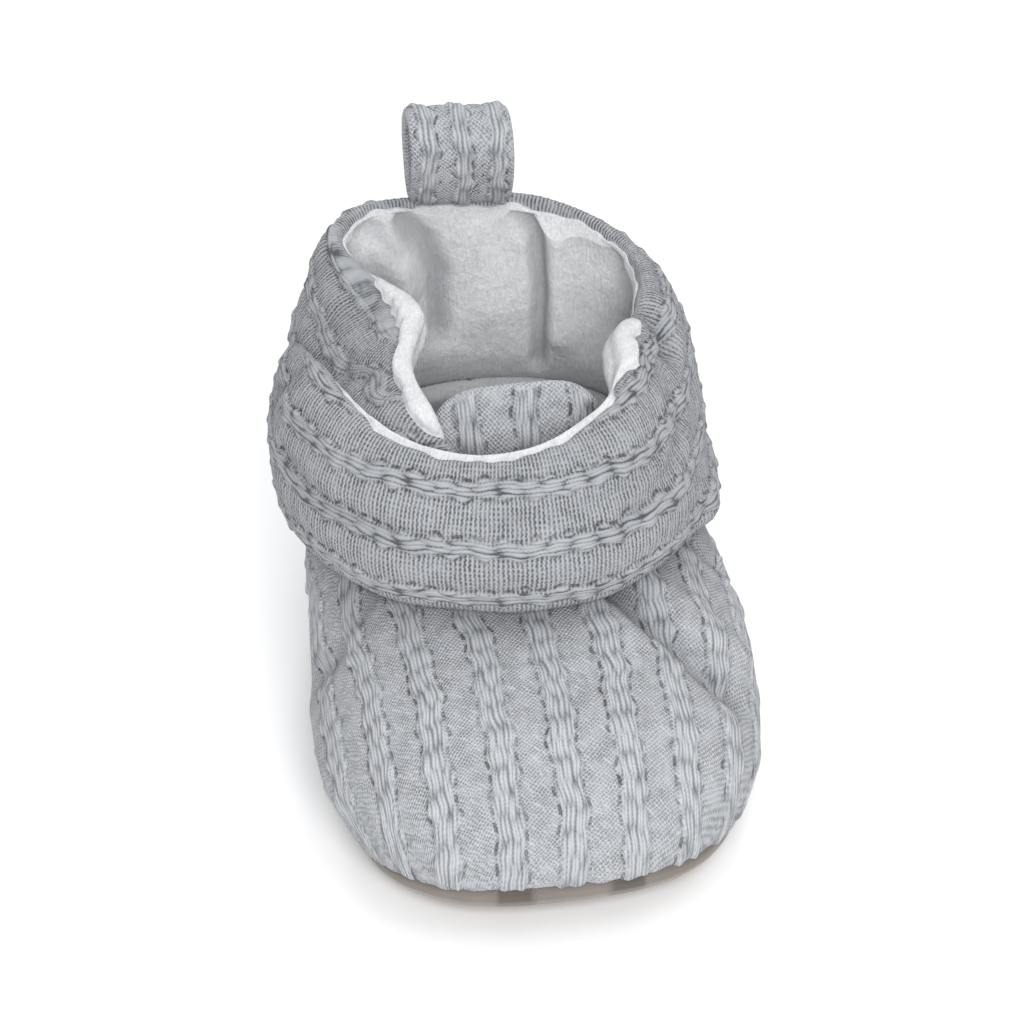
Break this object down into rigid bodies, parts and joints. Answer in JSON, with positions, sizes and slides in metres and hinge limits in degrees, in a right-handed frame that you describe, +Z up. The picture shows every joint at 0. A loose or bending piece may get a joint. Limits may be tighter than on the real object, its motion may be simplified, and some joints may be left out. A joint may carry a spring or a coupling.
{
  "type": "bootie slipper",
  "caption": "Soft knitted baby bootie slipper with a suede sole, a wrap-over ankle band, a tongue and a heel pull loop.",
  "frame": {"origin": "on the floor, on the flat underside of the sole, under the middle of the foot", "axes": "+Z up from the floor; the toe points to -Y and the heel to +Y; +X is to the right when the toe points at the viewer"},
  "size_m": [0.0711, 0.1009, 0.0908],
  "materials": {
    "grey_knit": "ribbed double knit",
    "brushed_lining": "brushed jersey",
    "suede_sole": "suede"
  },
  "bodies": {
    "root": {"outsole": "suede_sole", "insole": "brushed_lining", "upper": "grey_knit", "tongue": "grey_knit", "ankle_wrap": "grey_knit", "pull_loop": "grey_knit"}
  },
  "joints": []
}
